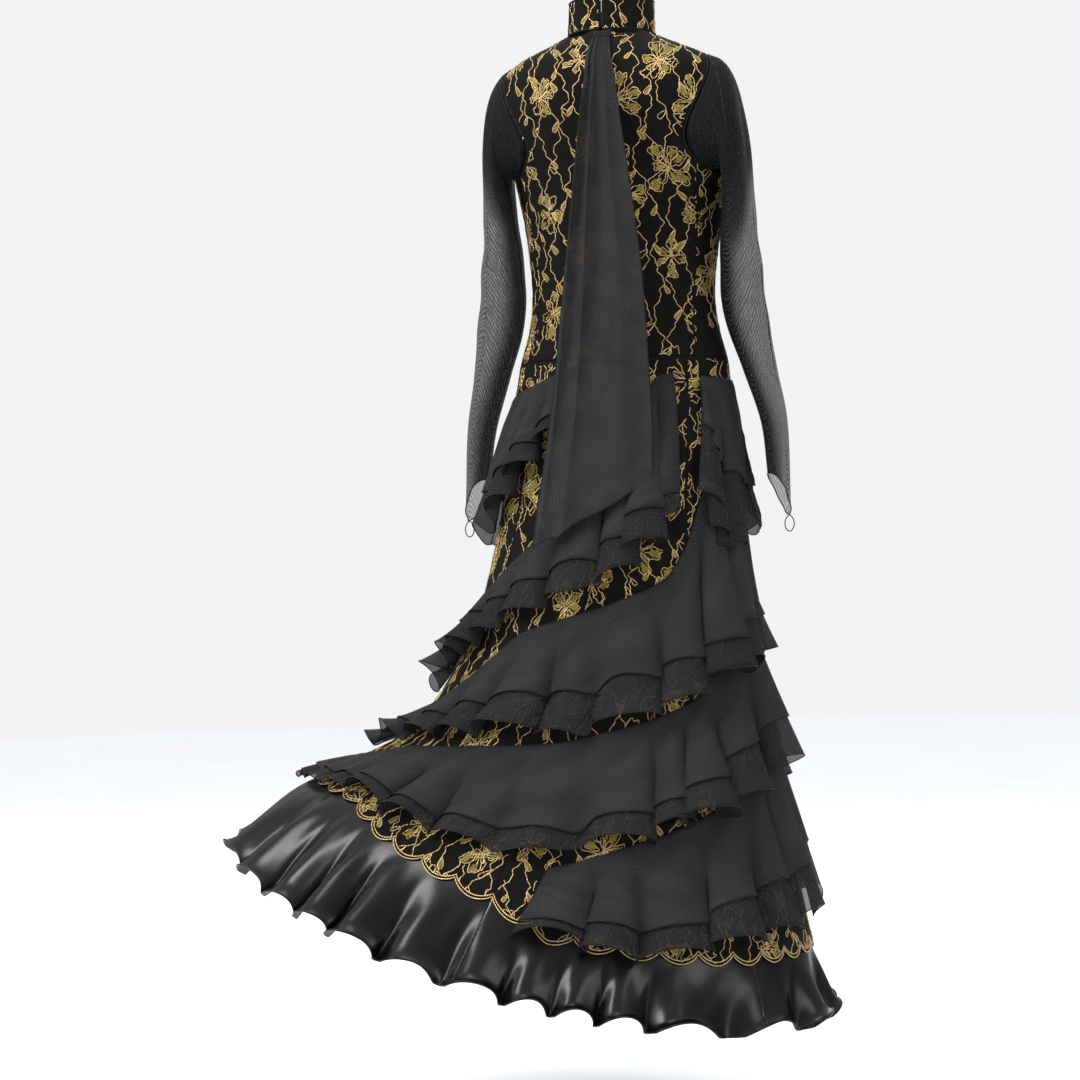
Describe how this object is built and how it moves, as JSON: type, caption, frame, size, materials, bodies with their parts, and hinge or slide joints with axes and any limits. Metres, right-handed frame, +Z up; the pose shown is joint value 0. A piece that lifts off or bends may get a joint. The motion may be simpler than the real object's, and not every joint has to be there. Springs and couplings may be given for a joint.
{
  "type": "ballroom dance gown",
  "caption": "Long fitted lace dance gown with a stand collar, sheer sleeves, a back float and diagonal chiffon flounces over a flared skirt with a satin hem.",
  "frame": {"origin": "centre of the neck seam, where the collar joins the bodice", "axes": "+Z up, the wearer faces -Y, +X to the wearer's left; the gown as it hangs on a dress form with its left hem spread out and lifted"},
  "size_m": [0.931, 0.6382, 1.4992],
  "materials": {
    "corded_lace": "matte",
    "chiffon": "matte",
    "satin": "gloss",
    "power_mesh": "matte",
    "lining": "matte",
    "horsehair_braid": "satin",
    "zip_nylon": "matte",
    "black_metal": "satin"
  },
  "bodies": {
    "gown": {"back_eye_strip": "zip_nylon", "back_hook_strip": "zip_nylon", "bodice_back_left": "corded_lace", "bodice_back_right": "corded_lace", "bodice_front": "corded_lace", "bodice_side_back_left": "corded_lace", "bodice_side_back_right": "corded_lace", "bodice_side_front_left": "corded_lace", "bodice_side_front_right": "corded_lace", "bra_cup_left": "lining", "bra_cup_right": "lining", "collar": "corded_lace", "collar_eye_strip": "zip_nylon", "collar_hook_strip": "zip_nylon", "first_flounce_over": "chiffon", "first_flounce_under": "chiffon", "float_header": "chiffon", "fourth_flounce_over": "chiffon", "fourth_flounce_under": "chiffon", "hem_braid": "horsehair_braid", "left_hip_flounce_over": "chiffon", "left_hip_flounce_under": "chiffon", "lining_back_left": "lining", "lining_back_right": "lining", "lining_front": "lining", "lining_side_left": "lining", "lining_side_right": "lining", "right_hip_flounce_over": "chiffon", "right_hip_flounce_under": "chiffon", "satin_hem_left_back": "satin", "satin_hem_left_front": "satin", "satin_hem_left_side": "satin", "satin_hem_right_back": "satin", "satin_hem_right_front": "satin", "satin_hem_right_side": "satin", "second_flounce_over": "chiffon", "second_flounce_under": "chiffon", "skirt_left_back": "corded_lace", "skirt_left_front": "corded_lace", "skirt_left_side_back": "corded_lace", "skirt_left_side_front": "corded_lace", "skirt_right_back": "corded_lace", "skirt_right_front": "corded_lace", "skirt_right_side_back": "corded_lace", "skirt_right_side_front": "corded_lace", "third_flounce_over": "chiffon", "third_flounce_under": "chiffon", "zip_bottom_stop": "black_metal", "zip_coil_left": "zip_nylon", "zip_coil_right": "zip_nylon", "zip_tape_left": "zip_nylon", "zip_tape_right": "zip_nylon"},
    "back_float": {"back_float": "chiffon"},
    "zip_slider": {"zip_slider": "black_metal"},
    "zip_pull": {"zip_pull": "black_metal"},
    "sleeve_left": {"sleeve_left": "power_mesh"},
    "sleeve_right": {"sleeve_right": "power_mesh"},
    "finger_loop_left": {"finger_loop_left": "power_mesh"},
    "finger_loop_right": {"finger_loop_right": "power_mesh"}
  },
  "joints": [
    {"name": "float_swing", "type": "hinge", "parent": "gown", "child": "back_float", "pos_m": [-0.004, 0.07211, -0.0153], "axis": [1, 0, 0], "range_deg": [0, 65]},
    {"name": "zip_travel", "type": "hinge", "parent": "gown", "child": "zip_slider", "pos_m": [0, 0.635, -0.35983], "axis": [1, 0, 0], "range_deg": [0, 30]},
    {"name": "zip_pull_swing", "type": "hinge", "parent": "zip_slider", "child": "zip_pull", "pos_m": [0, 0.08918, -0.14549], "axis": [1, 0, 0], "range_deg": [-20, 150]},
    {"name": "sleeve_left_raise", "type": "hinge", "parent": "gown", "child": "sleeve_left", "pos_m": [0.15, 0, -0.045], "axis": [0, -1, 0], "range_deg": [0, 70]},
    {"name": "sleeve_right_raise", "type": "hinge", "parent": "gown", "child": "sleeve_right", "pos_m": [-0.15, 0, -0.045], "axis": [0, 1, 0], "range_deg": [0, 70]},
    {"name": "finger_loop_left_swing", "type": "hinge", "parent": "sleeve_left", "child": "finger_loop_left", "pos_m": [0.25323, -0.043, -0.7175], "axis": [1, 0, 0], "range_deg": [-60, 60]},
    {"name": "finger_loop_right_swing", "type": "hinge", "parent": "sleeve_right", "child": "finger_loop_right", "pos_m": [-0.2487, -0.043, -0.7175], "axis": [1, 0, 0], "range_deg": [-60, 60]}
  ]
}
